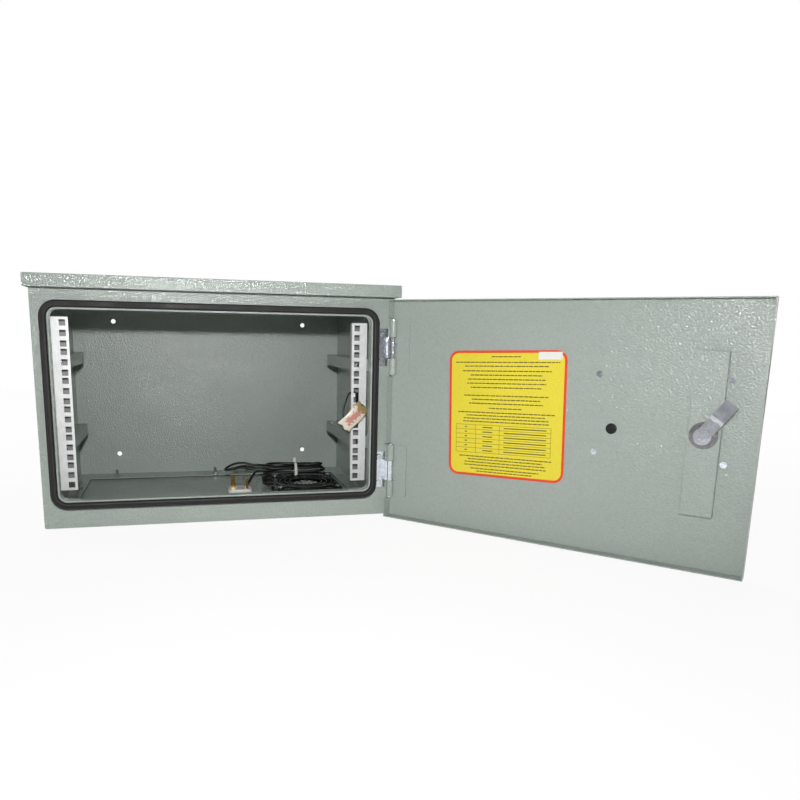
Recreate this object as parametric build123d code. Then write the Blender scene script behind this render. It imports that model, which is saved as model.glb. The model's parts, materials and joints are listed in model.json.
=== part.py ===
from build123d import *
import os
from math import radians, tan

# An outdoor wall-mount equipment cabinet with its door open, in millimetres.
# X runs to the right, Y runs into the cabinet from the front face of the frame, Z runs up from the base.
# The finished pieces are moved so that the origin lies at the middle of the base.

# Body
sheet = 1.5
body_width = 545
body_height = 377
body_depth = 424
fold_radius = 3
overrun = 2
fit_gap = 0.1
screw_gap = 0.3
run_gap = 0.05

# Roof
roof_side_overhang = 2.7
roof_front_overhang = 29.6
roof_lip = 18.5
roof_fold = 1.2

# Opening in the front frame, its hemmed forward lip and the rubber seal round the lip
opening_left_strip = 26.5
opening_right_strip = 41.3
opening_bottom = 48.5
opening_top_strip = 47
opening_radius = 11
lip_reach = 14
lip_round = 1.2
seal_width = 10
seal_front = 18.4
seal_round = 3
seal_groove_width = 2.4
seal_groove_depth = 2.5

# Wall-mount holes in the back
mount_from_side = 79.5
mount_bottom = 46.5
mount_from_top = 59.5
mount_hole_radius = 4.5

# Floor plate under the cut-out in the bottom, with its gasket
cut_from_side = 26
cut_start = 40
cut_from_back = 50
plate_lap = 18
gasket_thickness = 1.5
vent_radius = 54
vent_slot_width = 7
vent_pitch = 12
vent_slots = 9

# Rack rails: six units of 19-inch holes
unit = 44.45
hole_pitch = 15.875
units = 6
holes_per_unit = 3
hole_spacing_x = 465.1
square_hole = 9.5
rail_shift = -6.3
rail_depth = 62
rail_bottom = 49
rail_end = 8.7
rail_inner_margin = 8.6
rail_width = 26
rail_return = 34
rail_rear_flange = 21
rail_rear_cut = 14

# Brackets that carry the rails on the side walls
bracket_height = 21
bracket_lower = 101
bracket_upper = 238
bracket_from_back = 92
bracket_lap = 13.5
rail_screw_radius = 2.5
screw_head_radius = 4.5
screw_head_height = 2.4
screw_slot_length = 5
screw_slot_width = 1.1
screw_slot_depth = 1.3

# Door, as it stands when closed; the whole door is then turned open
door_gap = 3
door_depth = 19
door_left_gap = 4
door_right_gap = 1
door_bottom = 3.1
door_top_gap = 2.9
door_fold = 1.2
open_angle = 132

# Hinges
pin_from_edge = 4.1
pin_from_rim = 11.3
pin_radius = 3
pin_head_radius = 4.2
pin_head_height = 2
knuckle_radius = 6
hinge_lower = 80.5
hinge_from_top = 95
hinge_height = 86
bracket_knuckle_height = 33
knuckle_gap = 0.5
leaf_thickness = 1.8
leaf_reach = 28
weld_radius = 2
weld_depth = 0.6
weld_along = 19
weld_offset = 32
leaf_setback = 9
notch_margin = 3.5
hinge_plate_left = 246
hinge_plate_right = 262
hinge_plate_height = 60
hinge_plate_thickness = 2.5
hinge_arm_thickness = 3
hinge_screw_offset = 22
hinge_screw_radius = 2.5

# Lock in the door, measured along the door from its hinge edge
lock_along = 475.5
lock_height = 184
lock_box_width = 40
lock_box_height = 214
lock_box_depth = 10
lock_box_round = 1.3
lock_barrel_radius = 9
lock_head_radius = 14
lock_head_height = 3
lock_key_slot = 8
lock_key_width = 2
lock_washer_radius = 17.5
lock_washer_height = 1.5
lock_nut_flats = 25
lock_nut_height = 5
lock_barrel_proud = 3.5
cam_thickness = 2.5
cam_length = 54
cam_eye_radius = 11
cam_width = 18
cam_corner = 1.5
cam_step = 4
cam_step_start = 23
cam_step_run = 6
cam_rest_angle = 55
cam_screw_flats = 17
cam_screw_height = 4
cam_screw_recess = 4
cam_screw_recess_depth = 2.5

# Other pieces on the door
bolt_near = 336
bolt_far = 501.5
bolt_low = 147.6
bolt_high = 256
bolt_radius = 2.5
bolt_head_radius = 5
bolt_head_height = 2.2
bolt_nut_flats = 8
bolt_nut_height = 4
plug_along = 357
plug_height = 181.5
plug_radius = 7.5
plug_stem_radius = 5
plug_cap_height = 2.5
label_along = 199.5
label_height = 187.5
label_size_x = 185
label_size_z = 192
label_corner = 15
label_thickness = 0.3
label_tilt = 2

# Fan on the floor plate
fan_x = 157
fan_depth = 168
fan_turn = -1.5
fan_height = 25.4
fan_corner = 6
fan_duct_radius = 57.5
fan_duct_wall = 1.8
fan_flange = 5
fan_screw_spacing = 105
fan_screw_margin = 7.5
fan_screw_radius = 2.1
fan_screw_end = 0.5
fan_strut_width = 5
fan_strut_height = 3
fan_motor_radius = 26
hub_radius = 29
hub_clearance = 1
hub_height = 19
hub_round = 2.5
blade_count = 7
blade_thickness = 1.6
blade_root_chord = 21
blade_tip_chord = 30
blade_root_pitch = 40
blade_tip_pitch = 26
blade_tip_gap = 1.5
axle_radius = 4
hub_label_radius = 22
hub_label_thickness = 0.3
guard_thickness = 2
guard_inner_ring = 30
guard_ring_pitch = 9.5
guard_rings = 3
guard_ring_width = 2.2
guard_rim_width = 4
guard_bar_width = 4
guard_ear_radius = 6

# Fan cord with its hank, and the plug
cord_radius = 2.3
hank_left = 82
hank_right = 220
hank_front = 246
hank_back = 286
hank_height = 44.5
hank_round = 12
hank_end_round = 3
tie_thickness = 0.8
tie_width = 5
tie_along = 151
tie_tail = 9
lead_x = 120
arc_share = 0.45
loop_points = [(82, 275, 42), (70, 275, 42), (48, 277, 47.5), (31, 275, 45), (18, 268, 40), (12.5, 259, 37),
               (18, 251, 38), (33, 250, 42.5), (50, 254, 45), (70, 257, 40), (82, 257, 40)]
plug_lead_points = [(82, 262, 32), (74, 262, 32), (65, 244, 27), (56, 223, 19), (46, 206, 13),
                    (46, 192, 13)]
plug_left = 12
plug_right = 55
plug_front = 145
plug_back = 184
plug_tall = 20
plug_round = 9
plug_edge_round = 2
collar_radius = 4
pin_thickness = 4
pin_tip = 1
earth_pin_width = 8
earth_pin_length = 23
line_pin_width = 6.4
line_pin_length = 18
earth_pin_x = 22
line_pin_x = 46
line_pin_spread = 22

# Studs that hold the floor plate: two at the back of the cut-out, one at its left
stud_places_across = 196.5
stud_from_back = 44
side_stud_from_side = 18.5
side_stud_depth = 270
stud_radius = 3
stud_height = 16
stud_nut_flats = 10
stud_nut_height = 5
stud_washer_radius = 6.5
stud_washer_height = 1.2

# Keys in a small packet on the right rail
packet_x = 218.5
packet_height = 163.5
packet_depth = 47
packet_length = 50
packet_width = 25
packet_thickness = 4
packet_round = 3
packet_tilt = 46
key_thickness = 2
key_bow_radius = 10
key_bow_hole = 3.5
key_blade_length = 28
key_blade_width = 7
key_slide = 17
key_spread = 12
strap_radius = 1.1
strap_hole = 10
strap_x = 226.2
strap_front = 57
strap_back = 67
strap_points = [(221.5, 70.5, 204.5), (215, 68, 202), (210, 61.5, 194), (204, 55.2, 181), (201, 52.3, 164),
                (206, 52.3, 150), (216, 52.3, 152), (222, 52.3, 165), (225, 53.4, 179), (226, 55.6, 190)]
strap_head = 5

# Sizes worked out from the driving dimensions
half_width = body_width / 2
opening_width = body_width - opening_left_strip - opening_right_strip
opening_height = body_height - opening_bottom - opening_top_strip
opening_shift = (opening_left_strip - opening_right_strip) / 2
mount_x = half_width - mount_from_side
mount_top = body_height - mount_from_top
cut_half = half_width - cut_from_side
cut_end = body_depth - cut_from_back
bracket_end = body_depth - bracket_from_back
hinge_upper = body_height - hinge_from_top
wall_inside = half_width - sheet
lip_hem = 2 * sheet
floor_low = sheet + gasket_thickness
floor_high = floor_low + sheet
back_inside = body_depth - sheet
roof_top = body_height + sheet
roof_lip_bottom = roof_top - roof_lip
door_edge = half_width - door_right_gap
door_free = -half_width + door_left_gap
door_top = roof_lip_bottom - door_top_gap
door_outer = -(door_gap + door_depth)
door_inner = door_outer + sheet
pin_x = door_edge - pin_from_edge
pin_y = -(door_gap + pin_from_rim)
pin_axis = Axis((pin_x, pin_y, 0), (0, 0, 1))
lock_x = door_edge - lock_along
box_face = door_inner + lock_box_depth
nut_face = box_face + lock_washer_height + lock_nut_height
cam_face = nut_face + lock_barrel_proud
first_hole = rail_bottom + rail_end
rail_top = first_hole + (units - 1) * unit + (holes_per_unit - 1) * hole_pitch + rail_end
fan_size = fan_screw_spacing + 2 * fan_screw_margin
fan_base = sheet
hank_base = sheet + tie_thickness


def block(x0, x1, y0, y1, z0, z1):
    """A box given by its limits."""
    return Pos((x0 + x1) / 2, (y0 + y1) / 2, (z0 + z1) / 2) * Box(x1 - x0, y1 - y0, z1 - z0)


def rod(x, z, y0, y1, radius):
    """A round bar along Y."""
    return Pos(x, (y0 + y1) / 2, z) * Rot(90, 0, 0) * Cylinder(radius, y1 - y0)


def post(x, y, z0, z1, radius):
    """A round bar along Z."""
    return Pos(x, y, (z0 + z1) / 2) * Cylinder(radius, z1 - z0)


def rounded_window(width, height, radius, centre_x, centre_z, y0, y1):
    """A rounded rectangle in the XZ plane, extruded along Y."""
    outline = RectangleRounded(width, height, radius)
    return Pos(centre_x, y1, centre_z) * Rot(90, 0, 0) * extrude(outline, y1 - y0)


def hex_bar_y(x, z, y0, y1, flats):
    """A hexagon bar along Y, given across its flats."""
    outline = RegularPolygon(flats / 2, 6, major_radius=False)
    return Pos(x, y1, z) * Rot(90, 0, 0) * extrude(outline, y1 - y0)


def group(solids):
    """Several separate solids as one piece."""
    return Compound([solid.solid() for solid in solids])


def swept_cord(points, radius):
    """A round cord along straight runs joined by arcs as large as the runs allow."""
    places = [Vector(*point) for point in points]
    runs = [b - a for a, b in zip(places, places[1:])]
    radii = []
    for before, after in zip(runs, runs[1:]):
        half_turn = radians(before.get_angle(after) / 2)
        radii.append(arc_share * min(before.length, after.length) / tan(half_turn))
    path = FilletPolyline(*points, radius=radii)
    start = Plane(path @ 0, z_dir=path % 0)
    cord = sweep(start * Circle(radius), path)
    print("cord length", round(path.length, 1), "volume", round(cord.volume, 1),
          "section times length", round(path.length * Circle(radius).area, 1),
          "radii", [round(value, 1) for value in radii])
    return cord


def cross_slot(head_face):
    """The cross recess of a screw that points down, with its head's face at a height."""
    bar = Pos(0, 0, head_face) * Box(screw_slot_length, screw_slot_width, 2 * screw_slot_depth)
    return bar + Rot(0, 0, 90) * bar


def pan_head_screw(length, radius):
    """A screw along -Z whose head sits on the plane Z = 0."""
    head = post(0, 0, 0, screw_head_height, screw_head_radius)
    head = fillet(head.faces().sort_by(Axis.Z)[-1].edges(), screw_head_height / 2)
    return head + post(0, 0, -length, 0, radius) - cross_slot(screw_head_height)


# Body pieces

def stud_places():
    back = body_depth - stud_from_back
    return [(-stud_places_across, back), (0, back), (side_stud_from_side - half_width, side_stud_depth)]


def stud_holes(piece):
    """A floor piece with holes for the studs."""
    for x, y in stud_places():
        piece -= post(x, y, -overrun, floor_high + overrun, stud_radius + fit_gap)
    return piece


def floor_cut(grow, low, high):
    """The cut-out in the bottom, made larger by grow on every side."""
    return block(-cut_half - grow, cut_half + grow, cut_start - grow, cut_end + grow, low, high)


def make_body_wrap():
    height = body_height - floor_low
    middle = (body_height + floor_low) / 2
    outer = rounded_window(body_width, height, fold_radius, 0, middle, sheet, body_depth)
    inner = rounded_window(body_width - 2 * sheet, height - 2 * sheet, fold_radius - sheet,
                           0, middle, sheet - overrun, body_depth + overrun)
    return stud_holes(outer - inner - floor_cut(0, floor_low - overrun, floor_high + overrun))


def opening(grow, y0, y1):
    """The opening in the frame, made larger by grow on every side."""
    return rounded_window(opening_width + 2 * grow, opening_height + 2 * grow, opening_radius + grow,
                          opening_shift, opening_bottom + opening_height / 2, y0, y1)


def hinge_screw_places():
    """X and Z of the four hinge screws."""
    x = (hinge_plate_left + hinge_plate_right) / 2 - hinge_arm_thickness
    return [(x, centre + side * hinge_screw_offset)
            for centre in (hinge_lower, hinge_upper) for side in (-1, 1)]


def make_front_frame():
    middle = (body_height + floor_low) / 2
    plate = rounded_window(body_width, body_height - floor_low, fold_radius, 0, middle, 0, sheet)
    lip = opening(lip_hem, -lip_reach, sheet)
    frame = plate + lip - opening(0, -lip_reach - overrun, sheet + overrun)
    frame = fillet(frame.faces().sort_by(Axis.Y)[0].edges(), lip_round)
    for x, z in hinge_screw_places():
        frame -= rod(x, z, -overrun, sheet + overrun, hinge_screw_radius + screw_gap)
    return frame


def make_back_panel():
    panel = block(-wall_inside, wall_inside, back_inside, body_depth, floor_high, body_height - sheet)
    corners = panel.edges().filter_by(Axis.Y)
    panel = fillet(corners, fold_radius - sheet)
    for x in (-mount_x, mount_x):
        for z in (mount_bottom, mount_top):
            panel -= rod(x, z, back_inside - overrun, body_depth + overrun, mount_hole_radius)
    return panel


def make_roof_cap():
    side = half_width + roof_side_overhang
    front = -roof_front_overhang
    cap = block(-side, side, front, body_depth, roof_lip_bottom, roof_top)
    top = cap.faces().sort_by(Axis.Z)[-1]
    folds = top.edges().sort_by(Axis.Y)[:-1]
    cap = fillet(folds, roof_fold)
    return cap - block(-side + sheet, side - sheet, front + sheet, body_depth + overrun,
                       roof_lip_bottom - overrun, body_height)


def make_floor_plate():
    plate = stud_holes(floor_cut(plate_lap, 0, sheet))
    for index in range(vent_slots):
        offset = (index - (vent_slots - 1) / 2) * vent_pitch
        length = 2 * (vent_radius ** 2 - offset ** 2) ** (1 / 2)
        slot = extrude(SlotOverall(length, vent_slot_width), sheet + 2 * overrun)
        plate -= fan_place(-overrun) * Pos(0, offset, 0) * slot
    for x, y in fan_screw_places():
        plate -= fan_place(0) * post(x, y, -overrun, sheet + overrun, fan_screw_radius + screw_gap)
    return plate


def make_plate_gasket():
    ring = floor_cut(plate_lap, sheet, floor_low) - floor_cut(0, sheet - overrun, floor_low + overrun)
    return stud_holes(ring)


def make_door_seal():
    inner = lip_hem + fit_gap
    outer = inner + seal_width
    ring = opening(outer, -seal_front, 0) - opening(inner, -seal_front - overrun, overrun)
    front_edges = ring.faces().sort_by(Axis.Y)[0].edges()
    ring = fillet(front_edges, seal_round)
    half_groove = seal_groove_width / 2
    middle = (inner + outer) / 2
    front, floor = -seal_front - overrun, seal_groove_depth - seal_front
    groove = opening(middle + half_groove, front, floor) - opening(middle - half_groove, front, floor)
    return ring - groove


# Rails and their brackets

def rail_inner(side):
    """X of the rail's inner edge on one side."""
    return rail_shift + side * (hole_spacing_x / 2 - rail_inner_margin)


def rail_outer(side):
    return rail_inner(side) + side * rail_width


def span(a, b):
    return min(a, b), max(a, b)


def rail_hole_height(number):
    """Height of a square hole, counted from the lowest."""
    return first_hole + number // holes_per_unit * unit + number % holes_per_unit * hole_pitch


def rail_screw_places(side):
    x = rail_outer(side) - side * bracket_lap / 2
    return [(x, level + bracket_height / 2) for level in (bracket_lower, bracket_upper)]


def make_rack_rail(side):
    inner = rail_inner(side)
    outer = rail_outer(side)
    back = rail_depth + rail_return
    rear_reach = outer - side * rail_rear_flange
    rail = block(*span(inner, outer), rail_depth, rail_depth + sheet, rail_bottom, rail_top)
    rail += block(*span(outer, outer - side * sheet), rail_depth, back, rail_bottom, rail_top)
    rail += block(*span(outer, rear_reach), back - sheet, back, rail_bottom + rail_rear_cut, rail_top)
    hole_x = rail_shift + side * hole_spacing_x / 2
    for number in range(units * holes_per_unit):
        place = Pos(hole_x, rail_depth, rail_hole_height(number))
        rail -= place * Box(square_hole, 2 * sheet + overrun, square_hole)
    for x, z in rail_screw_places(side):
        rail -= rod(x, z, back - sheet - overrun, back + overrun, rail_screw_radius + screw_gap)
    return rail


def make_rail_bracket(side, level):
    """A folded channel on the side wall, with a tab turned in at its front for the rail."""
    face = rail_outer(side) - side * bracket_lap
    wall = side * wall_inside
    front = rail_depth + rail_return
    bracket = block(*span(face, wall), front, bracket_end, level, level + bracket_height)
    bracket -= block(*span(face + side * sheet, wall + side * overrun), front + sheet, bracket_end + overrun,
                     level + sheet, level + bracket_height - sheet)
    for x, z in rail_screw_places(side):
        bracket -= rod(x, z, front - overrun, front + sheet + overrun, rail_screw_radius + screw_gap)
    return bracket


def make_rail_screws():
    back = rail_depth + rail_return
    screws = []
    for side in (-1, 1):
        for x, z in rail_screw_places(side):
            screw = pan_head_screw(3 * sheet, rail_screw_radius)
            screws.append(Pos(x, back - sheet, z) * Rot(90, 0, 0) * screw)
    return group(screws)


# Fixed halves of the hinges

def make_hinge_bracket(centre):
    """A screwed plate that steps forward to a flat arm with the pin's knuckle at its end."""
    half = hinge_plate_height / 2
    plate = block(hinge_plate_left, hinge_plate_right, -hinge_plate_thickness, 0,
                  centre - half, centre + half)
    half_knuckle = bracket_knuckle_height / 2
    step_x = hinge_plate_right - hinge_arm_thickness
    arm_face = pin_y - hinge_arm_thickness / 2
    low, high = centre - half_knuckle, centre + half_knuckle
    arm = block(step_x, hinge_plate_right, arm_face, 0, low, high)
    arm += block(step_x, pin_x, arm_face, arm_face + hinge_arm_thickness, low, high)
    knuckle = post(pin_x, pin_y, low, high, knuckle_radius)
    bore = post(pin_x, pin_y, low - overrun, high + overrun, pin_radius + run_gap)
    bracket = plate + arm + knuckle - bore
    for x, z in hinge_screw_places():
        bracket -= rod(x, z, -hinge_plate_thickness - overrun, overrun, hinge_screw_radius + screw_gap)
    return bracket


def make_hinge_screws():
    screws = []
    for x, z in hinge_screw_places():
        screw = pan_head_screw(hinge_plate_thickness + 2 * sheet, hinge_screw_radius)
        screws.append(Pos(x, -hinge_plate_thickness, z) * Rot(90, 0, 0) * screw)
    return group(screws)


# Door pieces, made closed

def along_door(distance):
    """X of a place on the closed door, measured from its hinge edge."""
    return door_edge - distance


def bolt_places():
    return [(along_door(a), z) for a in (bolt_near, bolt_far) for z in (bolt_low, bolt_high)]


def make_door_panel():
    pan = block(door_free, door_edge, door_outer, -door_gap, door_bottom, door_top)
    front = pan.faces().sort_by(Axis.Y)[0]
    pan = fillet(front.edges(), door_fold)
    pan -= block(door_free + sheet, door_edge - sheet, door_inner, -door_gap + overrun,
                 door_bottom + sheet, door_top - sheet)
    half = hinge_height / 2 + notch_margin
    for centre in (hinge_lower, hinge_upper):
        pan -= block(door_edge - sheet - overrun, door_edge + overrun, door_inner, -door_gap + overrun,
                     centre - half, centre + half)
    for x, z in bolt_places():
        pan -= rod(x, z, door_outer - overrun, door_inner + overrun, bolt_radius + fit_gap)
    pan -= rod(lock_x, lock_height, door_outer - overrun, door_inner + overrun, lock_barrel_radius + fit_gap)
    pan -= rod(along_door(plug_along), plug_height, door_outer - overrun, door_inner + overrun,
               plug_stem_radius + fit_gap)
    return pan


def make_lock_box():
    """A pressed box that stiffens the door round the lock, open towards the panel."""
    half = lock_box_width / 2
    low = lock_height - lock_box_height / 2
    high = lock_height + lock_box_height / 2
    box = block(lock_x - half, lock_x + half, door_inner, box_face, low, high)
    face = box.faces().sort_by(Axis.Y)[-1]
    box = fillet(face.edges(), lock_box_round)
    box -= block(lock_x - half + sheet, lock_x + half - sheet, door_inner - overrun, box_face - sheet,
                 low + sheet, high - sheet)
    return box - rod(lock_x, lock_height, door_inner, box_face + overrun, lock_barrel_radius + fit_gap)


def make_lock_barrel():
    head = rod(lock_x, lock_height, door_outer - lock_head_height, door_outer, lock_head_radius)
    head = fillet(head.faces().sort_by(Axis.Y)[0].edges(), lock_head_height / 2)
    barrel = head + rod(lock_x, lock_height, door_outer, cam_face, lock_barrel_radius)
    half = lock_key_width / 2
    return barrel - block(lock_x - half, lock_x + half, door_outer - lock_head_height - overrun, door_outer,
                          lock_height - lock_key_slot / 2, lock_height + lock_key_slot / 2)


def make_lock_nut():
    washer = rod(lock_x, lock_height, box_face, box_face + lock_washer_height, lock_washer_radius)
    nut = hex_bar_y(lock_x, lock_height, box_face + lock_washer_height, nut_face, lock_nut_flats)
    return washer + nut - rod(lock_x, lock_height, box_face - overrun, nut_face + overrun,
                              lock_barrel_radius + fit_gap)


def make_lock_cam():
    """A cranked cam: its side profile, trimmed to its outline, turned to its resting angle."""
    far = cam_step_start + cam_step_run
    side_line = Polyline((-cam_eye_radius, 0), (cam_step_start, 0), (far, cam_step), (cam_length, cam_step),
                         (cam_length, cam_step + cam_thickness), (far, cam_step + cam_thickness),
                         (cam_step_start, cam_thickness), (-cam_eye_radius, cam_thickness), close=True)
    profile = extrude(make_face(side_line), cam_eye_radius, both=True)
    blade = RectangleRounded(cam_length, cam_width, cam_corner)
    outline = Circle(cam_eye_radius) + Pos(cam_length / 2, 0) * blade
    trim = Rot(-90, 0, 0) * extrude(outline, 2 * cam_length, both=True)
    cam = profile & trim
    cam = Rot(0, 0, 180) * Rot(180, 0, 0) * cam
    return Pos(lock_x, cam_face, lock_height) * Rot(0, cam_rest_angle, 0) * cam


def make_cam_screw():
    seat = cam_face + cam_thickness
    top = seat + cam_screw_height
    head = hex_bar_y(lock_x, lock_height, seat, top, cam_screw_flats)
    return head - rod(lock_x, lock_height, top - cam_screw_recess_depth, top + overrun, cam_screw_recess)


def make_hinge_leaf(centre):
    """The door's half of a hinge: a welded leaf with a knuckle at each end."""
    half = hinge_height / 2
    gap = bracket_knuckle_height / 2 + knuckle_gap
    leaf_face = door_inner + leaf_thickness
    leaf = block(pin_x - leaf_reach, pin_x - leaf_setback, door_inner, leaf_face,
                 centre - half, centre + half)
    for low, high in ((centre - half, centre - gap), (centre + gap, centre + half)):
        leaf += block(pin_x - leaf_setback, pin_x, door_inner, leaf_face, low, high)
        leaf += post(pin_x, pin_y, low, high, knuckle_radius)
    for side in (-1, 1):
        height = centre + side * weld_offset
        leaf -= rod(pin_x - weld_along, height, leaf_face - weld_depth, leaf_face + overrun, weld_radius)
    return leaf - post(pin_x, pin_y, centre - half - overrun, centre + half + overrun, pin_radius + run_gap)


def make_hinge_pins():
    pins = []
    for centre in (hinge_lower, hinge_upper):
        low = centre - hinge_height / 2
        high = centre + hinge_height / 2
        pin = post(pin_x, pin_y, low, high, pin_radius)
        pin += post(pin_x, pin_y, low - pin_head_height, low, pin_head_radius)
        pin += post(pin_x, pin_y, high, high + pin_head_height, pin_head_radius)
        pins.append(pin)
    return group(pins)


def make_door_bolts():
    bolts = []
    for x, z in bolt_places():
        head = rod(x, z, door_outer - bolt_head_height, door_outer, bolt_head_radius)
        head = fillet(head.faces().sort_by(Axis.Y)[0].edges(), bolt_head_height / 2)
        nut = hex_bar_y(x, z, door_inner, door_inner + bolt_nut_height, bolt_nut_flats)
        bolts.append(head + rod(x, z, door_outer, door_inner + bolt_nut_height + sheet, bolt_radius) + nut)
    return group(bolts)


def make_hole_plug():
    x = along_door(plug_along)
    cap = rod(x, plug_height, door_inner, door_inner + plug_cap_height, plug_radius)
    cap = fillet(cap.faces().sort_by(Axis.Y)[-1].edges(), plug_cap_height / 2)
    return cap + rod(x, plug_height, door_outer, door_inner, plug_stem_radius)


def make_door_label():
    outline = RectangleRounded(label_size_x, label_size_z, label_corner)
    sticker = Pos(0, label_thickness / 2, 0) * Rot(90, 0, 0) * extrude(outline, label_thickness)
    place = Pos(along_door(label_along), door_inner + label_thickness / 2, label_height)
    return place * Rot(0, label_tilt, 0) * sticker


# Fan, made about its own middle and then put on the floor plate

def fan_place(height):
    return Pos(fan_x, fan_depth, height) * Rot(0, 0, fan_turn)


def fan_screw_places():
    half = fan_screw_spacing / 2
    return [(x, y) for x in (-half, half) for y in (-half, half)]


def make_fan_frame():
    flange_outline = RectangleRounded(fan_size, fan_size, fan_corner) - Circle(fan_duct_radius)
    low_flange = extrude(flange_outline, fan_flange)
    high_flange = Pos(0, 0, fan_height - fan_flange) * low_flange
    duct = extrude(Circle(fan_duct_radius + fan_duct_wall) - Circle(fan_duct_radius), fan_height)
    struts = Sketch() + [Rot(0, 0, 45 + 90 * index) * Pos(fan_duct_radius / 2, 0)
                         * Rectangle(fan_duct_radius + fan_duct_wall, fan_strut_width) for index in range(4)]
    motor_base = extrude(Circle(fan_motor_radius) + struts, fan_strut_height)
    axle = post(0, 0, fan_strut_height, hub_floor() + hub_height / 2, axle_radius)
    frame = low_flange + high_flange + duct + motor_base + axle
    for x, y in fan_screw_places():
        frame -= post(x, y, -overrun, fan_height + overrun, fan_screw_radius + screw_gap)
    return fan_place(fan_base) * frame


def hub_floor():
    return fan_strut_height + hub_clearance


def blade_section(radius, chord, pitch):
    """A thin rounded section across a blade at one radius."""
    middle = hub_floor() + hub_height / 2
    plane = Plane(origin=(radius, 0, middle), x_dir=(0, 1, 0), z_dir=(1, 0, 0))
    return plane * Rot(0, 0, pitch) * SlotOverall(chord, blade_thickness)


def make_fan_rotor():
    floor = hub_floor()
    hub = post(0, 0, floor, floor + hub_height, hub_radius)
    hub = fillet(hub.faces().sort_by(Axis.Z)[-1].edges(), hub_round)
    root = blade_section(hub_radius - hub_round, blade_root_chord, blade_root_pitch)
    tip = blade_section(fan_duct_radius, blade_tip_chord, blade_tip_pitch)
    blade = loft([root, tip]) & post(0, 0, 0, fan_height, fan_duct_radius - blade_tip_gap)
    for index in range(blade_count):
        hub += Rot(0, 0, index * 360 / blade_count) * blade
    bore_top = floor + hub_height / 2 + hub_clearance
    return fan_place(fan_base) * (hub - post(0, 0, floor - overrun, bore_top, axle_radius + run_gap))


def make_hub_label():
    top = hub_floor() + hub_height
    return fan_place(fan_base) * post(0, 0, top, top + hub_label_thickness, hub_label_radius)


def make_fan_guard():
    """A flat moulded finger guard: rings joined by four bars that end in screw ears."""
    rim = Circle(fan_duct_radius) - Circle(fan_duct_radius - guard_rim_width)
    outline = Sketch() + rim
    for index in range(guard_rings):
        radius = guard_inner_ring + index * guard_ring_pitch
        outline += Circle(radius + guard_ring_width / 2) - Circle(radius - guard_ring_width / 2)
    corner = fan_screw_spacing / 2 * 2 ** (1 / 2)
    for index in range(4):
        bar = Pos((corner + guard_inner_ring) / 2, 0) * Rectangle(corner - guard_inner_ring, guard_bar_width)
        outline += Rot(0, 0, 45 + 90 * index) * (bar + Pos(corner, 0) * Circle(guard_ear_radius))
    for x, y in fan_screw_places():
        outline -= Pos(x, y) * Circle(fan_screw_radius + screw_gap)
    return fan_place(fan_base + fan_height) * extrude(outline, guard_thickness)


def make_fan_screws():
    screws = []
    top = fan_height + guard_thickness
    for x, y in fan_screw_places():
        screw = pan_head_screw(top + fan_base - fan_screw_end, fan_screw_radius)
        screws.append(fan_place(fan_base) * Pos(x, y, top) * screw)
    return group(screws)


# Cord, hank and plug

def hank_outline(grow):
    width = hank_back - hank_front + 2 * grow
    return RectangleRounded(width, hank_height + 2 * grow, hank_round + grow)


def along_hank(outline, x0, x1):
    """An outline across the hank, extruded along it."""
    middle_y = (hank_front + hank_back) / 2
    plane = Plane(origin=(x0, middle_y, hank_base + hank_height / 2), x_dir=(0, 1, 0), z_dir=(1, 0, 0))
    return extrude(plane * outline, x1 - x0)


def make_cord_hank():
    hank = along_hank(hank_outline(0), hank_left, hank_right)
    ends = hank.faces().filter_by(Axis.X)
    return fillet([edge for end in ends for edge in end.edges()], hank_end_round)


def make_hank_tie():
    band = hank_outline(tie_thickness) - hank_outline(0)
    ring = along_hank(band, tie_along - tie_width / 2, tie_along + tie_width / 2)
    middle_y = (hank_front + hank_back) / 2
    top = hank_base + hank_height + tie_thickness
    tail = block(tie_along - tie_width / 2, tie_along + tie_width / 2, middle_y - tie_thickness,
                 middle_y + tie_thickness, top - tie_thickness / 2, top + tie_tail)
    return ring + tail


def make_fan_lead():
    turned_edge = (fan_place(0) * Pos(lead_x - fan_x, fan_size / 2, 0)).position
    height = fan_base + fan_height - fan_flange / 2
    return rod(lead_x, height, turned_edge.Y, hank_front, cord_radius)


def make_plug_body():
    middle = Pos((plug_left + plug_right) / 2, (plug_front + plug_back) / 2, sheet)
    outline = RectangleRounded(plug_right - plug_left, plug_back - plug_front, plug_round)
    body = middle * extrude(outline, plug_tall)
    body = fillet(body.faces().sort_by(Axis.Z)[-1].edges(), plug_edge_round)
    exit_x, exit_y, exit_z = plug_lead_points[-1]
    return body + rod(exit_x - fit_gap, exit_z, plug_back - plug_edge_round, exit_y, collar_radius)


def make_plug_pins():
    top = sheet + plug_tall
    middle_y = (plug_front + plug_back) / 2
    earth = Box(earth_pin_width, pin_thickness, earth_pin_length)
    pins = [Pos(earth_pin_x, middle_y, top + earth_pin_length / 2) * earth]
    for side in (-1, 1):
        line = Box(pin_thickness, line_pin_width, line_pin_length)
        pins.append(Pos(line_pin_x, middle_y + side * line_pin_spread / 2, top + line_pin_length / 2) * line)
    return group([chamfer(pin.faces().sort_by(Axis.Z)[-1].edges(), pin_tip) for pin in pins])


# Studs and keys

def make_floor_studs():
    washer_top = floor_high + stud_washer_height
    hexagon = RegularPolygon(stud_nut_flats / 2, 6, major_radius=False)
    studs = []
    for x, y in stud_places():
        washer = post(x, y, floor_high, washer_top, stud_washer_radius)
        nut = Pos(x, y, washer_top) * extrude(hexagon, stud_nut_height)
        studs.append(washer + nut + post(x, y, 0, floor_high + stud_height, stud_radius))
    return group(studs)


def packet_place(slide, depth):
    """A place on the slanted packet, slid along it towards its upper end."""
    return Pos(packet_x, depth, packet_height) * Rot(0, -packet_tilt, 0) * Pos(slide, 0, 0)


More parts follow.
